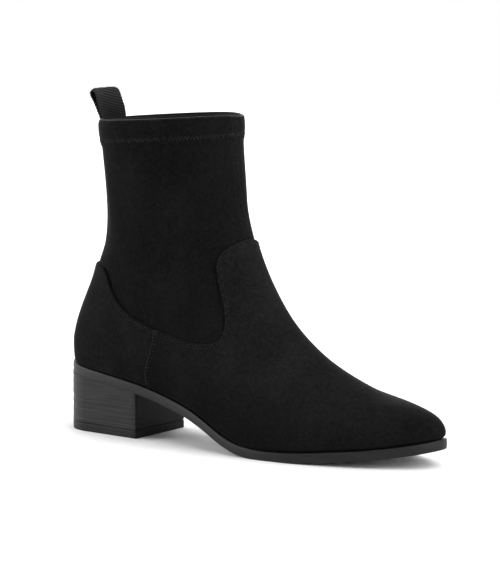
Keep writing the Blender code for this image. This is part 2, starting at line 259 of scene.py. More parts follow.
HEEL_ROUND = 0.18
FOOTBED_ROUND = 1.2

# Tape: its grid and diagonal ribs, how its fold opens, gathers and rounds off,
# and its painted shade by height, darker down towards the collar
TAPE_COLUMNS = 64
TAPE_STEPS = 200
TAPE_SUNK = 0.02
TAPE_MAP = "tape"
RIB_PITCH = 1.8
RIB_SLANT = 0.24
RIB_HEIGHT = 0.26
RIB_MIDDLE = 0.5
TAPE_OPEN = 1.4
TAPE_OPEN_AT = 0.40
TAPE_OPEN_REACH = 0.13
TAPE_GATHER = 1.6
TAPE_GATHER_TO = 7.0
TAPE_CORNER = 1.1
TAPE_CORNER_FROM = 0.7
TAPE_CORNER_POWER = 6
TAPE_SHADE_FROM = 190.0
TAPE_SHADE_TO = 211.0
TAPE_SHADE_LEAST = 0.52

# Stage: camera on the photo's angle, floor and lights
CAMERA_AZIMUTH = math.radians(35.0)
CAMERA_REACH = 1270.0
CAMERA_HEIGHT = 240.0
CAMERA_TARGET = np.array((123.0, 0.0, 92.9))
PIXELS_PER_MM = 1.69
FRAME_PIXELS = 580
SENSOR = 36.0
CAMERA_CLIP = 100.0
FLOOR_HALF = 6000.0
WHITE = (1.0, 1.0, 1.0, 1.0)
FLOOR_LOW = (0.90, 0.90, 0.90, 1.0)
FLOOR_HIGH = (0.93, 0.93, 0.93, 1.0)

# Far soft lights: direction towards each, strength, and width in degrees
LIGHTS = {
    "back": ((-0.507, 0.723, 0.469), 1.9, 60.0),
    "back_left": ((-0.90, 0.29, 0.32), 2.0, 50.0),
    "back_right": ((0.03, 0.90, 0.43), 0.85, 50.0),
    "top_right": ((0.30, 0.30, 0.90), 1.0, 50.0),
    "left": ((-0.723, -0.507, 0.469), 1.2, 60.0),
    "right": ((0.82, 0.33, 0.469), 0.9, 60.0),
    "front_right": ((0.565, -0.099, 0.819), 1.15, 50.0),
    "low_left": ((-0.798, -0.559, 0.225), 1.8, 24.0),
    "low_right": ((0.926, -0.163, 0.342), 1.8, 36.0),
}

# Painted shade and light on the suede: darker near the sole, and on the vamp darker on its wings
# and lighter towards its ridge and toe: direction, start, end and brightness at both
FOOT_PAINTED_SHADE = ((0.0, 0.0, 1.0), 20.0, 52.0, 0.72, 1.06)
WING_PAINTED_SHADE = ((1.0, 0.0, 0.5), 95.0, 195.0, 0.57, 1.08)

# Suedes: brightness against the record's colour, sheen at grazing angles, spread of tones and painted shades
SUEDE_SPREAD = 0.58
SUEDES = {
    "suede": (0.49, 0.05),
    "vamp_suede": (0.78, 0.058, SUEDE_SPREAD, (FOOT_PAINTED_SHADE, WING_PAINTED_SHADE)),
    "counter_suede": (0.65, 0.05),
    # The rolled rim's shoulders are lighter suede: a painted highlight along the rim
    "rim_painted_highlight": (0.9, 0.04, 0.95),
    # The vamp's cut edges are lighter suede: partly the raw edge's own colour, partly a painted highlight
    "raw_edge_and_painted_highlight": (1.25, 0.04),
}

# Sole stock: slot, brightness, roughness, how much finer its brush marks are upwards, and spread of tones
STOCKS = {
    "sole_edge": ("sole", 0.41, 0.5, 20.0, 0.25),
    # The heel's and lift's front is darker stock: painted shade under the sole's arch
    "heel_breast_painted_shade": ("stack", 0.13, 0.6, 35.0, 0.6),
    "heel_stock": ("stack", 0.31, 0.5, 35.0, 0.6),
    "lift_rubber": ("lift", 0.27, 0.55, 20.0, 0.6),
}

# Noise of each grain: scale, detail and roughness
GRAINS = {
    "nap": (1300.0, 3.0, 0.6),
    "tufts": (380.0, 3.0, 0.6),
    "patches": (45.0, 3.0, 0.5),
    "weave": (2200.0, 2.0, 0.5),
    "twist": (4000.0, 1.0, 0.5),
    "wear": (420.0, 2.0, 0.5),
    "yarn": (3000.0, 3.0, 0.5),
    "hide": (900.0, 4.0, 0.5),
    "brush": (26.0, 6.0, 0.7),
    "mottle": (40.0, 3.0, 0.5),
}
PATCH_STRETCH = (1.0, 1.0, 0.6)
YARN_STRETCH = (1.0, 0.25, 1.0)

# Shares of the first grain where two are mixed
NAP_SHARE = 0.65
RELIEF_NAP_SHARE = 0.6
FINE_SHARE = 0.75
TWIST_SHARE = 0.35
RIB_SHARE = 0.75

# Tones: places on the grain, and brightness there where the surface has one of its own
TONES = {
    "lining": ((0.3, 0.12), (0.7, 0.5)),
    "thread": ((0.38, 0.2), (0.62, 1.65)),
    "tape": ((0.54, 0.01), (0.76, 0.95)),
    "footbed": ((0.3, 0.7), (0.7, 1.3)),
}
SUEDE_PLACES = (0.36, 0.64)
STOCK_PLACES = (0.37, 0.63)
FLOOR_PLACES = (0.3, 0.7)

# Constants of each shader, and its grain's relief as strength and depth
FINISHES = {
    "suede": {"Roughness": 0.95, "Specular_IOR_Level": 0.02, "Sheen_Roughness": 0.25},
    "lining": {"Roughness": 0.9},
    "thread": {"Roughness": 0.7, "Specular_IOR_Level": 0.06},
    "tape": {"Roughness": 0.8, "Specular_IOR_Level": 0.2},
    "footbed": {"Roughness": 0.6},
    "stock": {"Specular_IOR_Level": 0.15},
    "floor": {"Roughness": 0.9, "Specular_IOR_Level": 0.0},
}
STOCK_ROUGH_HALF = 0.08
RELIEFS = {
    "suede": (0.8, 0.0003),
    "lining": (0.4, 0.0002),
    "tape": (0.5, 0.0002),
    "footbed": (0.3, 0.0002),
    "stock": (0.15, 0.0002),
}

RECORD_COLOURS = {row["slot"]: row["base_color"] for row in frame["record"]["materials"]}


def clamped(values):
    return np.clip(values, 0.0, 1.0)


def hermite(part, span, start, end, start_slope, end_slope):
    """Cubic between two knots, at a part of the span between them."""
    rest = 1 - part
    return (
        (1 + 2 * part) * rest ** 2 * start
        + part * rest ** 2 * span * start_slope
        + part ** 2 * (3 - 2 * part) * end
        - part ** 2 * rest * span * end_slope
    )


def between_knots(knots, at):
    """The knot below each place, the span to the next one and the part of it gone."""
    low = np.clip(np.searchsorted(knots, at, side="right") - 1, 0, len(knots) - 2)
    span = knots[low + 1] - knots[low]
    return low, span, (at - knots[low]) / span


def smooth(knots, values, at):
    """Cubic curve through the values at the knots, its slopes taken from the neighbouring knots."""
    slopes = np.gradient(values, knots)
    low, span, part = between_knots(knots, at)
    return hermite(part, span, values[low], values[low + 1], slopes[low], slopes[low + 1])


def shape_at(section, at):
    """A section's second column at places along its first, held at the table's ends."""
    first, second = section.values()
    return smooth(first, second, np.clip(at, first[0], first[-1]))


def underside(x):
    return smooth(UNDERSIDE["x"], UNDERSIDE["z"], x)


def sole_bottom(x):
    return np.maximum(underside(x) - GAP - SOLE, 0.0)


def half_width(ring, angle):
    """Half width of each ring at its angle: an odd curve through the stations, so both ends are round."""
    stations = np.radians(list(STATIONS.values()))
    widths = np.stack([ring[name] for name in STATIONS], axis=1)
    nought = np.zeros((len(widths), 1))
    knots = np.concatenate((-stations[1::-1], (0.0,), stations, (math.pi,), TURN - stations[:-3:-1]))
    values = np.concatenate((-widths[:, 1::-1], nought, widths, nought, -widths[:, :-3:-1]), axis=1)
    slopes = np.gradient(values, knots, axis=1)
    row = np.arange(len(widths))
    low, span, part = between_knots(knots, angle)
    here, following = (row, low), (row, low + 1)
    return hermite(part, span, values[here], values[following], slopes[here], slopes[following])


def from_back(row, axis, along):
    return row["back_" + axis] + (row["front_" + axis] - row["back_" + axis]) * along


def last(angle, level):
    """Points of the boot's form. Angle 0 is the heel's back and pi the toe, with the outer side between."""
    angle, level = np.broadcast_arrays(np.asarray(angle, float), np.asarray(level, float))
    shape = angle.shape
    angle = np.mod(angle.ravel(), TURN)
    level = level.ravel()
    side = np.where(angle <= math.pi, -1.0, 1.0)
    angle = np.where(angle <= math.pi, angle, TURN - angle)
    ring = {name: smooth(RING_NUMBERS, column, level) for name, column in RINGS.items()}
    feather = {name: column[0] for name, column in RINGS.items()}
    width = half_width(ring, angle)
    foot = clamped(ring["foot"])
    along = (1 - np.cos(angle)) / 2
    x, z = (from_back(ring, axis, along) for axis in "xz")
    below_x, below_z = (from_back(feather, axis, along) for axis in "xz")
    rise = clamped((level - RISE_FROM_LEVEL) / (COLLAR_LEVEL - RISE_FROM_LEVEL))
    z += foot * (underside(below_x) - below_z) + COLLAR_RISE * rise * side * width / COLLAR_HALF
    swing = smooth(SWING["x"], SWING["shift"], np.clip(x, SWING["x"][0], SWING["x"][-1]))
    y = side * width + np.sqrt(foot) * swing + SHAFT_LEAN * (1 - foot) ** 2
    return np.stack((x, y, z), axis=-1).reshape(shape + (3,))


def slopes_at(angle, level):
    """Change of the last's points with angle and with level."""
    above = np.clip(level + SLOPE_STEP, 0.0, COLLAR_LEVEL)
    below = np.clip(level - SLOPE_STEP, 0.0, COLLAR_LEVEL)
    round_last = (last(angle + SLOPE_STEP, level) - last(angle - SLOPE_STEP, level)) / (2 * SLOPE_STEP)
    up_last = (last(angle, above) - last(angle, below)) / (above - below)[..., None]
    return round_last, up_last


def unit(vectors):
    return vectors / np.linalg.norm(vectors, axis=-1, keepdims=True)


def dot(first, second):
    return np.sum(first * second, axis=-1)


def run_along(points):
    """Length of a line of points up to each of them."""
    return np.concatenate(((0.0,), np.cumsum(np.linalg.norm(np.diff(points, axis=0), axis=1))))


def shell(angle, level, out):
    """Points at a distance outside the last. On the feather line they move level, on the underside."""
    angle, level, out = np.broadcast_arrays(
        np.asarray(angle, float), np.asarray(level, float), np.asarray(out, float),
    )
    round_last, up_last = slopes_at(angle, level)
    away = np.cross(round_last, up_last)
    at_feather = (level <= 0.0)[..., None]
    level_away = np.stack((round_last[..., 1], -round_last[..., 0], 0 * round_last[..., 0]), axis=-1)
    away = unit(np.where(at_feather, level_away, away))
    points = last(angle, level) + away * out[..., None]
    points[..., 2] = np.where(at_feather[..., 0], underside(points[..., 0]), points[..., 2])
    return points


def folded(angle):
    """Angles from the heel's back, the same on both sides."""
    return np.abs(np.mod(angle + math.pi, TURN) - math.pi)


def edge_level(angle):
    return smooth(EDGE["angle"], EDGE["level"], np.degrees(folded(angle)))


def seam_angle(part_up):
    return SEAM_FOOT + SEAM_SWEEP * part_up ** SEAM_POWER


def place(points):
    """Millimetres in the frame of the last as metres in the row's frame."""
    return (points + SHIFT) * MM


def grid_faces(rows, columns, closed_rows, closed_columns):
    """Four-sided faces of a grid of points, going round where rows or columns are closed."""
    row = np.arange(rows if closed_rows else rows - 1)[:, None]
    column = np.arange(columns if closed_columns else columns - 1)[None, :]
    next_row = (row + 1) % rows
    right = (column + 1) % columns
    here, above = row * columns, next_row * columns
    corners = (here + column, here + right, above + right, above + column)
    return np.stack(np.broadcast_arrays(*corners), axis=-1).reshape(-1, 4).tolist()


def ladder_faces(first, columns):
    """Faces across a ring of points whose first and middle points are the ends of the ladder."""
    faces = []
    for rung in range(columns // 2):
        left = first + rung
        right = first + (columns - rung) % columns
        next_right = first + (columns - rung - 1) % columns
        faces.append(tuple(dict.fromkeys((left, left + 1, next_right, right))))
    return faces


def stacked(rings):
    """Closed solid through rings of points of the same count, the first and last filled across as ladders."""
    columns = len(rings[0])
    faces = grid_faces(len(rings), columns, False, True)
    faces += [face[::-1] for face in ladder_faces(0, columns)]
    faces += ladder_faces((len(rings) - 1) * columns, columns)
    return np.concatenate(rings), faces


def sheet(outer, inner):
    """Closed solid between two grids of points of the same size."""
    rows, columns = outer.shape[:2]
    count = rows * columns
    front = grid_faces(rows, columns, False, False)
    back = [[count + corner for corner in face[::-1]] for face in front]
    border = list(range(columns))
    border += [row * columns + columns - 1 for row in range(1, rows)]
    border += [(rows - 1) * columns + column for column in range(columns - 2, -1, -1)]
    border += [row * columns for row in range(rows - 2, 0, -1)]
    rim = [(end, start, count + start, count + end) for start, end in zip(border, border[1:] + border[:1])]
    return np.concatenate((outer.reshape(-1, 3), inner.reshape(-1, 3))), front + back + rim


def outward(points, faces):
    """The faces, turned round where the solid they close is inside out."""
    corners = np.array([face if len(face) == 4 else (*face, face[-1]) for face in faces if len(face) < 5])
    first, second, third, fourth = (points[column] for column in corners.T)
    volume = np.sum(first * (np.cross(second, third) + np.cross(third, fourth)))
    return faces if volume > 0 else [face[::-1] for face in faces]


def new_object(name, data):
    """An object in the scene from a mesh, light or camera."""
    made = bpy.data.objects.new(name, data)
    bpy.context.scene.collection.objects.link(made)
    return made


def add_piece(name, points, faces, slot, materials, replaced=(), face_materials=None):
    """A smooth mesh object from points in the frame of the last, riding on the boot's one body."""
    mesh = bpy.data.meshes.new(name)
    mesh.from_pydata(place(points).tolist(), [], outward(points, faces))
    mesh.shade_smooth()
    for material in materials:
        mesh.materials.append(material)
    if face_materials is not None:
        mesh.polygons.foreach_set("material_index", face_materials)
    piece = new_object(name, mesh)
    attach(piece, "root")
    if replaced:
        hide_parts(*replaced)
    return piece


def sock_angles():
    """Columns once round the upper."""
    before = np.arange(0.0, math.pi - SEAM_SPAN, COLUMN)
    seam = np.arange(math.pi - SEAM_SPAN, math.pi + SEAM_SPAN, SEAM_COLUMN)
    after = np.arange(math.pi + SEAM_SPAN, TURN - COLUMN / 2, COLUMN)
    return np.concatenate((before, seam, after))


def front_seam_relief(angle, level):
    """Ridges and groove of the front seam, from the distance to the shaft's front middle."""
    across = np.linalg.norm(last(angle, level) - last(math.pi, level), axis=-1)
    return shape_at(SEAM_SHAPE, across)


def pulls_relief(angle, level):
    """Soft troughs and ridges of the stretched shaft."""
    total = np.zeros(np.broadcast(angle, level).shape)
    for middle, at_level, reach, up, depth in zip(*PULLS.values()):
        away = np.degrees(angle) - middle
        total -= depth * np.exp(-(away / reach) ** 2 - ((level - at_level) / up) ** 2)
    return total


def sock_relief(angle, level):
    """How far the upper's outer face stands out from the last."""
    hem = shape_at(HEM_SHAPE, (level - HEM_LEVEL) * HEM_PITCH)
    shown = clamped(level - HIDDEN_LEVEL)
    return hem + shown * (front_seam_relief(angle, level) + pulls_relief(angle, level))


def make_sock(suede, lining, rim_painted_highlight):
    """The hollow upper: up outside, over the rolled rim and down inside."""
    angle = sock_angles()
    top = COLLAR_LEVEL - DIP * np.exp(-((angle - DIP_MIDDLE) / DIP_HALF) ** 2)
    levels = np.concatenate((
        np.linspace(0 * top, HIDDEN_LEVEL, HIDDEN_ROWS, endpoint=False),
        np.linspace(HIDDEN_LEVEL + 0 * top, HEM_FROM_LEVEL, SHAFT_ROWS, endpoint=False),
        np.linspace(HEM_FROM_LEVEL, top, HEM_ROWS),
    ))
    rings = list(shell(angle, levels, sock_relief(angle, levels)))
    rim_out = sock_relief(angle, top)
    for turn in np.linspace(0.0, math.pi, RIM_ROWS)[1:]:
        out = rim_out + (math.cos(turn) - 1) / 2 * (rim_out + WALL)
        ring = shell(angle, top, out)
        ring[:, 2] += RIM_RISE * math.sin(turn)
        rings.append(ring)
    outer_rows = len(rings)
    rings += list(shell(angle, np.linspace(top, 0.0, INNER_ROWS)[1:], -WALL))
    faces = grid_faces(len(rings), len(angle), True, True)
    # The rim's shoulders take the lighter suede of a painted highlight, the rest of the rim and the inside the
    # lining
    over_rim = np.repeat(np.arange(len(rings)), len(angle)) - (outer_rows - RIM_ROWS)
    shoulder = (over_rim >= 0) & (over_rim < RIM_HIGHLIGHT_ROWS)
    shoulder |= (over_rim < RIM_ROWS - 1) & (over_rim >= RIM_ROWS - 1 - RIM_HIGHLIGHT_ROWS)
    kind = np.where(over_rim < 0, 0, np.where(shoulder, 1, 2)).astype(np.int32)
    materials = (suede, rim_painted_highlight, lining)
    add_piece("sock", np.concatenate(rings), faces, "suede", materials, ("upper",), kind)


def distances(points, line):
    """Distance of each point of a grid to the nearest point of a line."""
    tree = KDTree(len(line))
    for index, point in enumerate(line):
        tree.insert(point, index)
    tree.balance()
    flat = points.reshape(-1, 3)
    return np.array([tree.find(point)[2] for point in flat]).reshape(points.shape[:-1])


def panel_rows(angle):
    """Parts of the way up to the edge at each angle: by the feather line, even, then by the edge."""
    edge = edge_level(angle)
    at_edge = np.linalg.norm(slopes_at(angle, edge)[1], axis=-1) * edge
    at_foot = np.linalg.norm(slopes_at(angle, 0 * edge)[1], axis=-1) * edge
    foot = FOOT_ROWS[:, None] / at_foot
    near = 1 - EDGE_ROWS[:, None] / at_edge
    steps = np.linspace(0.0, 1.0, PANEL_EVEN_ROWS + 2)[1:-1, None]
    return np.concatenate((foot, foot[-1] + (near[0] - foot[-1]) * steps, near))


def roll(distance, radius):
    """Rounded shoulder of a cut edge: from a least part at the edge to one at the radius."""
    part = clamped(distance / radius)
    return ROLL_LEAST + (1 - ROLL_LEAST) * np.sqrt(1 - (1 - part) ** 2)


def stitch_troughs(distance, insets):
    """Troughs that rows of stitches pull at their distances from an edge, with a pillow between them."""
    total = np.zeros(distance.shape)
    for inset in insets:
        total -= TROUGH * np.exp(-((distance - inset) / TROUGH_WIDTH) ** 2)
    middle = sum(insets) / len(insets)
    return total + PILLOW * np.exp(-((distance - middle) / TROUGH_WIDTH) ** 2)


def foot_tuck(distance):
    """How far a panel turns in under itself by the feather line."""
    return FOOT_TUCK * clamped(1 - distance / FOOT_ROLL) ** 2


def panel_lines(angle, part_up):
    """The panel's upper edge, its two seam edges and its feather line, close enough to measure from."""
    level = part_up * edge_level(angle)
    out = OVERLAY_GAP + OVERLAY
    ends = np.linspace(angle[-1, 0], angle[-1, -1], EDGE_SAMPLES)
    top = shell(ends, edge_level(ends), out)
    up = np.linspace(0.0, 1.0, EDGE_SAMPLES)
    seams = []
    for column in (0, -1):
        along = np.interp(up, part_up[:, column], angle[:, column])
        seams.append(shell(along, up * edge_level(along), out))
    foot = shell(angle[0], level[0], out)
    return top, np.concatenate(seams), foot


def vamp_grid():
    """Angles and parts of the way up of the vamp's points, from seam to seam over the toe."""
    even_from = SEAM_TOP + SEAM_COLUMNS[-1]
    even = np.linspace(even_from, math.pi, round((math.pi - even_from) / PANEL_COLUMN))
    half = np.concatenate((SEAM_TOP + SEAM_COLUMNS[:-1], even))
    part_up = panel_rows(half)
    pull = clamped(1 - (half - half[0]) / VAMP_WARP)
    outer_side = half + (seam_angle(part_up) + SEAM_GAP - half[0]) * pull
    angle = np.concatenate((outer_side, TURN - outer_side[:, -2::-1]), axis=1)
    return angle, np.concatenate((part_up, part_up[:, -2::-1]), axis=1)


def counter_grid():
    """Angles and parts of the way up of the counter's points, from seam to seam round the heel."""
    even_to = SEAM_TOP - SEAM_COLUMNS[-1]
    even = np.linspace(0.0, even_to, round(even_to / PANEL_COLUMN))
    half = np.concatenate((even, SEAM_TOP - SEAM_COLUMNS[-2::-1]))
    part_up = panel_rows(half)
    pull = (half / half[-1]) ** 2
    outer_side = half + (seam_angle(part_up) - SEAM_GAP - half[-1]) * pull
    angle = np.concatenate((-outer_side[:, :0:-1], outer_side), axis=1)
    return angle, np.concatenate((part_up[:, :0:-1], part_up), axis=1)


def raw_and_highlit_edges(faces, shape):
    """Which faces of a sheet take the lighter edge suede: its rim, the raw cut edge, and the columns nearest
    its two seams. The lighter colour is partly the raw edge's own and partly a painted highlight.
    """
    rows, columns = shape[0] - 1, shape[1] - 1
    number = np.arange(len(faces))
    column = number % columns
    by_seam = np.minimum(column, columns - 1 - column) < RAW_AND_HIGHLIT_COLUMNS
    return ((number < rows * columns) & by_seam | (number >= 2 * rows * columns)).astype(np.int32)


def panel_form(angle, part_up):
    """Levels of a panel's points, their distances from its upper edge and seams, and how far they tuck in."""
    level = part_up * edge_level(angle)
    plain = shell(angle, level, OVERLAY_GAP + OVERLAY)
    to_top, to_seam, to_foot = (distances(plain, line) for line in panel_lines(angle, part_up))
    return level, to_top, to_seam, foot_tuck(to_foot)


def make_vamp(suede, raw_edge_and_painted_highlight):
    """The vamp laid over the sock: rolled edges, and troughs under its double row of stitches."""
    angle, part_up = vamp_grid()
    level, to_top, to_seam, tuck = panel_form(angle, part_up)
    drop = SEAM_DROP * clamped(1 - to_seam / SEAM_ROLL) ** 2
    out = OVERLAY_GAP + OVERLAY * roll(to_top, ROLL) - drop - tuck
    out += stitch_troughs(to_top, STITCH_INSETS) + stitch_troughs(to_seam, SIDE_INSETS)
    points, faces = sheet(shell(angle, level, out), shell(angle, level, OVERLAY_GAP - tuck))
    # Edge faces lighter: partly the raw edge's own colour, partly a painted highlight
    raw = raw_and_highlit_edges(faces, angle.shape)
    add_piece("vamp_panel", points, faces, "suede", (suede, raw_edge_and_painted_highlight), ("vamp",), raw)


def make_counter(suede):
    """The counter: a rolled upper edge, and seam edges that run under the vamp's."""
    angle, part_up = counter_grid()
    level, to_top, to_seam, tuck = panel_form(angle, part_up)
    lap = LAP * clamped(1 - to_seam / LAP_REACH) ** 2
    out = OVERLAY_GAP + OVERLAY * roll(to_top, ROLL) - lap - tuck
    out += stitch_troughs(to_top, STITCH_INSETS) * (folded(angle) > COUNTER_STITCH_FROM)
    points, faces = sheet(shell(angle, level, out), shell(angle, level, OVERLAY_GAP - tuck))
    add_piece("counter_panel", points, faces, "suede", (suede,), ("counter",))


def moved_across(angle, level, inset):
    """A line on the last moved sideways over it by a distance, to the right of its run seen from outside."""
    round_last, up_last = slopes_at(angle, level)
    along = unit(np.gradient(last(angle, level), axis=0))
    away = unit(np.cross(round_last, up_last))
    right = np.cross(along, away) * inset
    round_round, up_up = dot(round_last, round_last), dot(up_last, up_last)
    round_up = dot(round_last, up_last)
    by_round, by_up = dot(round_last, right), dot(up_last, right)
    spread = round_round * up_up - round_up * round_up
    angle_step = (by_round * up_up - by_up * round_up) / spread
    level_step = (by_up * round_round - by_round * round_up) / spread
    return angle + angle_step, level + level_step


def run_of(angle, level, out, pitch):
    """Places, directions and outward normals at even steps along a line on the boot."""
    points = shell(angle, level, out)
    away = unit(shell(angle, level, out + NORMAL_STEP) - points)
    length = run_along(points)
    at = np.arange(pitch / 2, length[-1], pitch)
    centres, along, away = (
        np.stack([np.interp(at, length, column) for column in rows.T], axis=1)
        for rows in (points, np.gradient(points, axis=0), away)
    )
    return centres, unit(along), unit(away)


def thread(centres, along, away, length, diameter):
    """One bent stitch at each centre, its ends sunk into the surface."""
    side = np.cross(away, along)
    radius = diameter / 2
    turn = np.linspace(0.0, TURN, THREAD_SIDES, endpoint=False)
    rings = []
    for part in THREAD_RINGS:
        thin = radius * math.sqrt(THREAD_BLUNT - part ** THREAD_TAPER)
        middle = centres + along * (part * length / 2) - away * (THREAD_SINK * diameter * part * part)
        for one in turn:
            rings.append(middle + thin * (math.cos(one) * side + math.sin(one) * away))
    points = np.stack(rings, axis=1)
    count = points.shape[1]
    faces = []
    one_stitch = grid_faces(len(THREAD_RINGS), THREAD_SIDES, False, True)
    one_stitch.append(list(range(THREAD_SIDES))[::-1])
    one_stitch.append(list(range(count - THREAD_SIDES, count)))
    for start in range(0, len(centres) * count, count):
        faces += [[start + corner for corner in face] for face in one_stitch]
    return points.reshape(-1, 3), faces


def joined(parts):
    """Several sets of points and faces as one."""
    points = []
    faces = []
    count = 0
    for some, theirs in parts:
        faces += [[count + corner for corner in face] for face in theirs]
        points.append(some)
        count += len(some)
    return np.concatenate(points), faces


def stitch_row(angle, level, inset):
    """A row of stitches along a line, moved sideways off it."""
    moved_angle, moved_level = moved_across(angle, level, inset)
    out = OVERLAY_GAP + OVERLAY - TROUGH + THREAD / 2
    centres, along, away = run_of(moved_angle, moved_level, out, STITCH_PITCH)
    wander = STITCH_WANDER * np.sin(np.arange(len(centres)) ** 2)
    centres += np.cross(away, along) * wander[:, None]
    return thread(centres, along, away, STITCH_LENGTH, THREAD)


def make_vamp_stitches(material):
    """Double row inside the vamp's upper edge, from side seam to side seam."""
    angle = np.linspace(SEAM_TOP, TURN - SEAM_TOP, EDGE_SAMPLES)
    rows = [stitch_row(angle, edge_level(angle), inset) for inset in STITCH_INSETS]
    add_piece("vamp_stitches", *joined(rows), "tape", (material,))


def make_counter_stitches(material):
    """Double row along the counter's upper edge, from each side seam to where the edge starts to climb."""
    angle = np.linspace(COUNTER_STITCH_FROM, SEAM_TOP, EDGE_SAMPLES)
    rows = []
    for inset in STITCH_INSETS:
        rows.append(stitch_row(angle, edge_level(angle), inset))
        rows.append(stitch_row(TURN - angle[::-1], edge_level(angle)[::-1], inset))
    add_piece("counter_stitches", *joined(rows), "tape", (material,))


def tack(angle, level, inset):
    """Close stitches that lie across a seam's line, moved sideways off it."""
    moved_angle, moved_level = moved_across(angle, level, inset)
    out = OVERLAY_GAP + OVERLAY + TACK_LIFT
    centres, along, away = run_of(moved_angle, moved_level, out, TACK_STEP)
    return thread(centres, np.cross(away, along), away, TACK_LENGTH, THREAD)


def make_side_stitches(material):
    """Two rows up each side seam on the vamp, with a tack of close stitches at the top."""
    rows = []
    for make, insets, start, end in (
        (stitch_row, SIDE_INSETS, SIDE_STITCH_FROM, TACK_FROM), (tack, TACK_INSETS, TACK_FROM, 1.0),
    ):
        up = np.linspace(start, end, EDGE_SAMPLES)
        angle = seam_angle(up)
        level = up * edge_level(angle)
        for inset in insets:
            rows.append(make(angle, level, inset))
            rows.append(make(TURN - angle, level, -inset))
    add_piece("side_stitches", *joined(rows), "tape", (material,))


def make_hem_stitches(material):
    """Zigzag of the hem's stretch seam, once round the shaft."""
    angle = np.linspace(0.0, TURN, EDGE_SAMPLES)
    level = np.full(len(angle), HEM_ZIG_LEVEL)
    out = sock_relief(angle, level) + HEM_THREAD_LIFT
    centres, along, away = run_of(angle, level, out, HEM_ZIG_PITCH / 2)
    up = np.cross(away, along)
    lean = np.where(np.arange(len(centres)) % 2, 1.0, -1.0)[:, None]
    zig = unit(along * HEM_ZIG_PITCH / 4 + up * HEM_ZIG_HALF * lean)
    length = 2 * math.hypot(HEM_ZIG_PITCH / 4, HEM_ZIG_HALF)
    points, faces = thread(centres, zig, away, length, HEM_THREAD)
    add_piece("hem_stitches", points, faces, "tape", (material,))


def make_seam_stitches(material):
    """Four fine rows over the front seam, from the tongue to the rim."""
    low = edge_level(math.pi) + SEAM_STITCH_ABOVE
    level = np.linspace(low, COLLAR_LEVEL - SEAM_STITCH_BELOW, EDGE_SAMPLES)
    angle = np.full(len(level), math.pi)
    rows = []
    for inset in SEAM_STITCH_ACROSS:
        moved_angle, moved_level = moved_across(angle, level, inset)
        out = sock_relief(moved_angle, moved_level)
        centres, along, away = run_of(moved_angle, moved_level, out, SEAM_PITCH)
        rows.append(thread(centres, along, away, SEAM_LENGTH, SEAM_THREAD))
    add_piece("seam_stitches", *joined(rows), "tape", (material,))


def sole_ring(out, height):
    """A ring at a distance outside the feather line, at the height given for its x."""
    ring = shell(SOLE_ANGLES, 0.0, out)
    ring[:, 2] = height(ring[:, 0])
    return ring


def make_sole(material):
    """The outsole: rounded edges and a slightly bellied side round its flat top and its arched underside."""
    rings = []
    for inset, rise in ROUND_PARTS:
        rings.append(sole_ring(SOLE_MARGIN - SOLE_ROUND * inset, lambda x: sole_bottom(x) + SOLE_ROUND * rise))
    for part in np.linspace(0.0, 1.0, SOLE_SIDE_ROWS)[1:-1]:
        ring = sole_ring(SOLE_MARGIN + SOLE_BELLY * math.sin(math.pi * part), sole_bottom)
        low = ring[:, 2] + SOLE_ROUND
        high = underside(ring[:, 0]) - GAP - SOLE_ROUND
        ring[:, 2] = low + (high - low) * part
        rings.append(ring)
    for fall, inset in ROUND_PARTS:
        top = sole_ring(SOLE_MARGIN - SOLE_ROUND * inset, lambda x: underside(x) - GAP - SOLE_ROUND * fall)
        rings.append(top)
    add_piece("sole_unit", *stacked(rings), "sole", (material,), ("outsole",))


def make_footbed(material):
    """The insole with a rounded upper edge."""
    rings = [sole_ring(-INSOLE_INSET, underside)]
    for fall, inset in ROUND_PARTS:
        high = INSOLE - FOOTBED_ROUND * fall
        rings.append(sole_ring(-INSOLE_INSET - FOOTBED_ROUND * inset, lambda x: underside(x) + high))
    add_piece("footbed", *stacked(rings), "footbed", (material,), ("insole",))


def heel_plan(inset):
    """Outline of the heel moved inwards, from the back's middle by the outer side to the breast and on."""
    back = HEEL_BACK + inset
    breast = HEEL_BREAST - inset
    half = HEEL_HALF - inset
    at_back = half - (breast - back) * math.tan(HEEL_DRAW)
    radius = at_back * math.cos(HEEL_DRAW) / (1 - math.sin(HEEL_DRAW))
    turn = np.linspace(0.0, math.pi / 2 - HEEL_DRAW, HEEL_ARC_STEPS)
    arc = np.column_stack((back + radius * (1 - np.cos(turn)), -radius * np.sin(turn)))
    corner_turn = np.linspace(0.0, math.pi / 2, HEEL_CORNER_STEPS)
    corner = np.column_stack((
        breast - HEEL_CORNER * (1 - np.sin(corner_turn)), -half + HEEL_CORNER * (1 - np.cos(corner_turn)),
    ))
    steps = np.linspace(0.0, 1.0, HEEL_SIDE_STEPS)[1:-1, None]
    outer_side = np.concatenate((arc, arc[-1] + (corner[0] - arc[-1]) * steps, corner))
    across = np.linspace(outer_side[-1, 1], 0.0, HEEL_SIDE_STEPS)[1:]
    outer_side = np.concatenate((outer_side, np.column_stack((np.full(len(across), breast), across))))
    return np.concatenate((outer_side, outer_side[-2:0:-1] * (1.0, -1.0)))


def stack_groove(x, z):
    """Depth of the heel's layers, uneven round its back, and of the lines between them."""
    line = np.clip(np.round((z - STACK_FIRST) / STACK_PITCH), 0, len(STACK_GROOVES) - 1).astype(int)
    away = z - STACK_FIRST - STACK_PITCH * line
    uneven = STACK_INSETS[line + (away > 0)] * clamped(1 - (x - HEEL_BACK) / STACK_FADE)
    return uneven + STACK_GROOVES[line] * np.exp(-(away / STACK_GROOVE_WIDTH) ** 2)


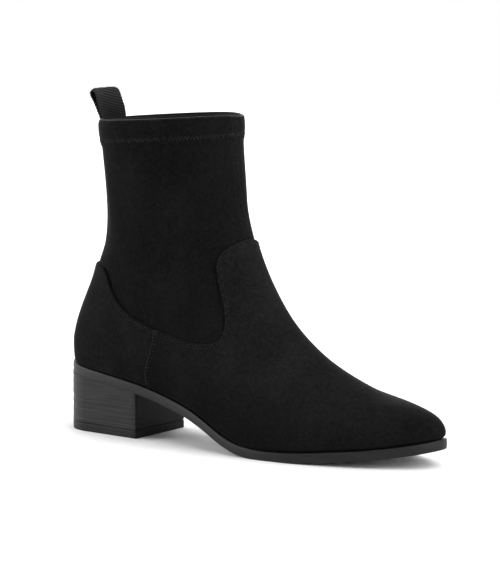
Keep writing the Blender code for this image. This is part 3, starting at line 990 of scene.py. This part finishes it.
def add_block(name, slot, materials, node, bottom, top, rows, groove):
    """A block of the heel with rounded ends, its front in the second material, which is darker as painted
    shade. Groove is a depth at x, z.
    """
    outer = heel_plan(0.0)
    inner = heel_plan(HEEL_ROUND)
    parts = np.concatenate(((0.0,), np.linspace(0.0, 1.0, rows), (1.0,)))
    rings = [np.column_stack((outer, bottom + (top - bottom) * part + 0 * outer[:, 0])) for part in parts]
    for ring in rings[1:-1]:
        z = ring[:, 2]
        part = clamped(np.minimum(z - bottom, top - z) / HEEL_ROUND)
        inset = HEEL_ROUND * (1 - np.sqrt(1 - (1 - part) ** 2)) + groove(ring[:, 0], z)
        ring[:, :2] = outer + (inner - outer) * (inset / HEEL_ROUND)[:, None]
    rings[0][:, :2] = inner
    rings[-1][:, :2] = inner
    points, faces = stacked(rings)
    front = HEEL_BREAST - HEEL_CORNER
    front_in_painted_shade = np.array([points[list(face), 0].min() > front for face in faces], np.int32)
    add_piece(name, points, faces, slot, materials, (node,), front_in_painted_shade)


def make_heel(stock, breast):
    top = sole_bottom(heel_plan(0.0)[:, 0]) - GAP
    add_block("heel_stack", "stack", (stock, breast), "heel", LIFT + GAP, top, HEEL_ROWS, stack_groove)


def make_lift(stock, breast):
    add_block("heel_lift", "lift", (stock, breast), "top_lift", 0.0, LIFT, LIFT_ROWS, lambda x, z: 0 * z)


def make_loop(material):
    """The folded tape with its diagonal ribs, bent across its width with the collar's back."""
    rows = np.linspace(0.0, 1.0, len(TAPE_PATH["up"]))
    steps = np.linspace(-TAPE_SUNK, 1.0 + TAPE_SUNK, TAPE_STEPS)
    path = np.stack([smooth(rows, TAPE_PATH[name], steps) for name in ("forward", "up")], axis=1)
    slope = unit(np.gradient(path, axis=0))
    normal = np.column_stack((-slope[:, 1], slope[:, 0]))
    run = run_along(path)
    across = np.linspace(-TAPE_WIDTH / 2, TAPE_WIDTH / 2, TAPE_COLUMNS)
    bend = 1 - TAPE_FLATTENING * clamped(path[:, 1] / TAPE_RISE)
    shift = bend[:, None] * across ** 2 / (2 * TAPE_BACK_RADIUS)
    tilt = across * COLLAR_RISE / COLLAR_HALF
    to_edge = 2 * across / TAPE_WIDTH
    near_edge = clamped(-to_edge)
    far_edge = clamped(to_edge)
    by_edge = clamped((np.abs(to_edge) - TAPE_CORNER_FROM) / (1 - TAPE_CORNER_FROM))
    rise = clamped(path[:, 1:] / path[:, 1].max())
    corner = TAPE_CORNER * by_edge ** 2 * rise ** TAPE_CORNER_POWER
    part = run[:, None] / run[-1]
    shift += TAPE_OPEN * np.exp(-((part - TAPE_OPEN_AT) / TAPE_OPEN_REACH) ** 2) * near_edge ** 2
    gather = TAPE_GATHER * far_edge ** 2 * clamped(1 - path[:, 1:] / TAPE_GATHER_TO)
    rib = np.abs(np.sin(math.pi * (run[:, None] + RIB_SLANT * across) / RIB_PITCH)) - RIB_MIDDLE
    start = shell(0.0, COLLAR_LEVEL, -WALL)
    faces = []
    for side in (1.0, -1.0):
        off = side * (TAPE / 2 + RIB_HEIGHT * rib)
        x = start[0] + path[:, :1] + off * normal[:, :1] + shift
        y = start[1] + across - gather
        z = start[2] + path[:, 1:] + off * normal[:, 1:] + tilt - corner
        faces.append(np.stack((x, y, z), axis=-1))
    mesh = add_piece("loop_tape", *sheet(*faces), "tape", (material,), ("pull_loop",)).data
    corners = np.empty(len(mesh.loops), np.int32)
    mesh.loops.foreach_get("vertex_index", corners)
    flat = np.stack(np.broadcast_arrays(across[None, :], run[:, None]), axis=-1).reshape(-1, 2)
    layer = mesh.uv_layers.new(name=TAPE_MAP)
    layer.data.foreach_set("uv", np.concatenate((flat, flat))[corners].ravel().astype(np.float32))


def feed(tree, socket, value):
    """Links a socket from another one, or sets it to a value."""
    if isinstance(value, bpy.types.NodeSocket):
        tree.links.new(value, socket)
    else:
        socket.default_value = value


def put(tree, kind, settings=None, **inputs):
    """A shader node with its settings, its inputs linked from sockets or set to values."""
    made = tree.nodes.new(kind)
    for name, value in (settings or {}).items():
        setattr(made, name, value)
    for name, value in inputs.items():
        feed(tree, made.inputs[name.replace("_", " ")], value)
    return made


def worked(tree, kind, operation, *values):
    """Outputs of a math node that works on sockets or values, in the order of its inputs."""
    made = put(tree, kind, {"operation": operation})
    for socket, value in zip(made.inputs, values):
        feed(tree, socket, value)
    return made.outputs


def noise(tree, where, grain):
    scale, detail, roughness = GRAINS[grain]
    made = put(tree, "ShaderNodeTexNoise", Vector=where, Scale=scale, Detail=detail, Roughness=roughness)
    return made.outputs["Fac"]


def stretched(tree, where, scale):
    """Coordinates scaled differently along each axis."""
    return put(tree, "ShaderNodeMapping", Vector=where, Scale=scale).outputs["Vector"]


def ramp(tree, factor, stops):
    """Colours between stops of place and colour."""
    made = put(tree, "ShaderNodeValToRGB", Fac=factor)
    for element, (place_on, colour) in zip(made.color_ramp.elements, stops):
        element.position = place_on
        element.color = colour
    return made.outputs["Color"]


def tinted(tree, factor, slot, tones):
    """The record's colour of a slot between tones of place and brightness."""
    colours = [
        (place_on, tuple(part * level for part in RECORD_COLOURS[slot]) + (1.0,)) for place_on, level in tones
    ]
    return ramp(tree, factor, colours)


def mixed(tree, first, second, share):
    """Sum of two values with shares that add up to one."""
    part = worked(tree, "ShaderNodeMath", "MULTIPLY", first, share)[0]
    return worked(tree, "ShaderNodeMath", "MULTIPLY_ADD", second, 1 - share, part)[0]


def mapped(tree, value, **limits):
    """A value taken from one range to another."""
    return put(tree, "ShaderNodeMapRange", Value=value, **limits).outputs["Result"]


def painted_shade_along(tree, colour, where, direction, start, end, least, most):
    """A colour scaled from least to most between two places along a direction in the frame of the last, as
    painted shade and light.
    """
    along = worked(tree, "ShaderNodeVectorMath", "DOT_PRODUCT", where, direction)["Value"]
    low, high = ((at + np.dot(direction, SHIFT)) * MM for at in (start, end))
    brightness = mapped(tree, along, From_Min=low, From_Max=high, To_Min=least, To_Max=most)
    scaled = put(tree, "ShaderNodeVectorMath", {"operation": "SCALE"}, Vector=colour, Scale=brightness)
    return scaled.outputs["Vector"]


def new_material(name):
    made = bpy.data.materials.new(name)
    made.use_nodes = True
    tree = made.node_tree
    return made, tree, put(tree, "ShaderNodeTexCoord").outputs["Object"]


def dress(tree, kind, colour, height=None, **constants):
    """Colour, constants and relief on a material's shader."""
    shader = tree.nodes["Principled BSDF"]
    feed(tree, shader.inputs["Base Color"], colour)
    for name, value in {**FINISHES[kind], **constants}.items():
        feed(tree, shader.inputs[name.replace("_", " ")], value)
    if height is not None:
        strength, depth = RELIEFS[kind]
        bump = put(tree, "ShaderNodeBump", Height=height, Strength=strength, Distance=depth)
        feed(tree, shader.inputs["Normal"], bump.outputs["Normal"])


def suede_material(name, level, sheen, spread=SUEDE_SPREAD, painted_shades=(FOOT_PAINTED_SHADE,)):
    """Napped suede: fine grain over brushed patches, with a soft sheen at grazing angles."""
    made, tree, where = new_material(name)
    nap = noise(tree, where, "nap")
    tufts = noise(tree, where, "tufts")
    patches = noise(tree, stretched(tree, where, PATCH_STRETCH), "patches")
    blend = mixed(tree, mixed(tree, nap, tufts, NAP_SHARE), patches, FINE_SHARE)
    grey = sum(RECORD_COLOURS["suede"]) / 3
    low, high = ((grey * level * part,) * 3 + (1.0,) for part in (1 - spread, 1 + spread))
    colour = ramp(tree, blend, zip(SUEDE_PLACES, (low, high)))
    # Painted shade and light: the suede darker or lighter along the given directions
    for painted_shade in painted_shades:
        colour = painted_shade_along(tree, colour, where, *painted_shade)
    dress(tree, "suede", colour, mixed(tree, nap, tufts, RELIEF_NAP_SHARE), Sheen_Weight=sheen)
    return made


def plain_material(name, slot, grain):
    """A surface with one grain, such as the textile inside the shaft."""
    made, tree, where = new_material(name)
    grains = noise(tree, where, grain)
    dress(tree, name, tinted(tree, grains, slot, TONES[name]), grains)
    return made


def thread_material():
    """Twisted sewing thread, a little lighter and glossier than the suede."""
    made, tree, where = new_material("thread")
    twist = mixed(tree, noise(tree, where, "twist"), noise(tree, where, "wear"), TWIST_SHARE)
    dress(tree, "thread", tinted(tree, twist, "tape", TONES["thread"]))
    return made


def tape_material():
    """Twill tape: over the yarns' own grain, painted shade darkens the valleys between the modelled ribs and
    the tape lower down towards the collar.
    """
    made, tree, where = new_material("tape")
    yarn = noise(tree, stretched(tree, where, YARN_STRETCH), "yarn")
    flat = put(tree, "ShaderNodeUVMap", {"uv_map": TAPE_MAP}).outputs["UV"]
    waves = (math.pi * RIB_SLANT / RIB_PITCH, math.pi / RIB_PITCH, 0.0)
    across_ribs = worked(tree, "ShaderNodeVectorMath", "DOT_PRODUCT", flat, waves)["Value"]
    wave = worked(tree, "ShaderNodeMath", "SINE", across_ribs)[0]
    rib = worked(tree, "ShaderNodeMath", "ABSOLUTE", wave)[0]
    height = put(tree, "ShaderNodeSeparateXYZ", Vector=where).outputs["Z"]
    low, high = TAPE_SHADE_FROM * MM, TAPE_SHADE_TO * MM
    painted_shade = mapped(tree, height, From_Min=low, From_Max=high, To_Min=TAPE_SHADE_LEAST, To_Max=1.0)
    # Painted shade: darker in the valleys between the ribs and lower down towards the collar
    light = worked(tree, "ShaderNodeMath", "MULTIPLY", mixed(tree, rib, yarn, RIB_SHARE), painted_shade)[0]
    dress(tree, "tape", tinted(tree, light, "tape", TONES["tape"]), yarn)
    return made


def brushed_material(name, slot, level, roughness, streaks, spread):
    """Satin sole stock with fine level brush marks."""
    made, tree, where = new_material(name)
    marks = noise(tree, stretched(tree, where, (1.0, 1.0, streaks)), "brush")
    levels = (level * (1 - spread), level * (1 + spread))
    colour = tinted(tree, marks, slot, zip(STOCK_PLACES, levels))
    smoothest, roughest = roughness - STOCK_ROUGH_HALF, roughness + STOCK_ROUGH_HALF
    dress(tree, "stock", colour, marks, Roughness=mapped(tree, marks, To_Min=smoothest, To_Max=roughest))
    return made


def floor_material():
    """Plain pale paper, very faintly mottled."""
    made, tree, where = new_material("floor")
    colour = ramp(tree, noise(tree, where, "mottle"), zip(FLOOR_PLACES, (FLOOR_LOW, FLOOR_HIGH)))
    dress(tree, "floor", colour)
    return made


def make_floor():
    corners = np.array(((-1, -1, 0), (1, -1, 0), (1, 1, 0), (-1, 1, 0)), float) * FLOOR_HALF
    mesh = bpy.data.meshes.new("floor")
    mesh.from_pydata((corners * MM).tolist(), [], [(0, 1, 2, 3)])
    mesh.materials.append(floor_material())
    floor = new_object("floor", mesh)


def make_lights():
    """A backdrop that is plain white where the camera sees it, and the far lights."""
    world = bpy.data.worlds.new("studio")
    world.use_nodes = True
    tree = world.node_tree
    backdrop = tree.nodes["Background"]
    backdrop.inputs["Color"].default_value = WHITE
    seen = put(tree, "ShaderNodeLightPath").outputs["Is Camera Ray"]
    tree.links.new(seen, backdrop.inputs["Strength"])
    bpy.context.scene.world = world
    for name, (towards, strength, width) in LIGHTS.items():
        sun = bpy.data.lights.new(name, "SUN")
        sun.energy = strength
        sun.angle = math.radians(width)
        new_object(name, sun).rotation_euler = Vector(towards).to_track_quat("Z", "Y").to_euler()


def make_camera():
    """The camera on the photo's angle, its lens set so that the target keeps the photo's scale."""
    across = np.array((math.sin(CAMERA_AZIMUTH), -math.cos(CAMERA_AZIMUTH), 0.0)) * CAMERA_REACH
    at = np.array((CAMERA_TARGET[0], CAMERA_TARGET[1], CAMERA_HEIGHT)) + across
    distance = np.linalg.norm(at - CAMERA_TARGET)
    lens = bpy.data.cameras.new("camera")
    lens.sensor_width = SENSOR
    lens.lens = distance * PIXELS_PER_MM * SENSOR / FRAME_PIXELS
    lens.clip_end = CAMERA_CLIP
    camera = new_object("camera", lens)
    place_at = Vector(place(at))
    camera.location = place_at
    camera.rotation_euler = (Vector(place(CAMERA_TARGET)) - place_at).to_track_quat("-Z", "Y").to_euler()
    bpy.context.scene.camera = camera


def main():
    bpy.context.scene.view_settings.view_transform = "Standard"
    suedes = {name: suede_material(name, *values) for name, values in SUEDES.items()}
    stocks = {name: brushed_material(name, *values) for name, values in STOCKS.items()}
    sewing = thread_material()
    make_sock(suedes["suede"], plain_material("lining", "suede", "weave"), suedes["rim_painted_highlight"])
    make_vamp(suedes["vamp_suede"], suedes["raw_edge_and_painted_highlight"])
    make_counter(suedes["counter_suede"])
    make_vamp_stitches(sewing)
    make_counter_stitches(sewing)
    make_side_stitches(sewing)
    make_hem_stitches(sewing)
    make_seam_stitches(sewing)
    make_loop(tape_material())
    make_footbed(plain_material("footbed", "footbed", "hide"))
    make_sole(stocks["sole_edge"])
    make_heel(stocks["heel_stock"], stocks["heel_breast_painted_shade"])
    make_lift(stocks["lift_rubber"], stocks["heel_breast_painted_shade"])
    make_floor()
    make_lights()
    make_camera()


main()
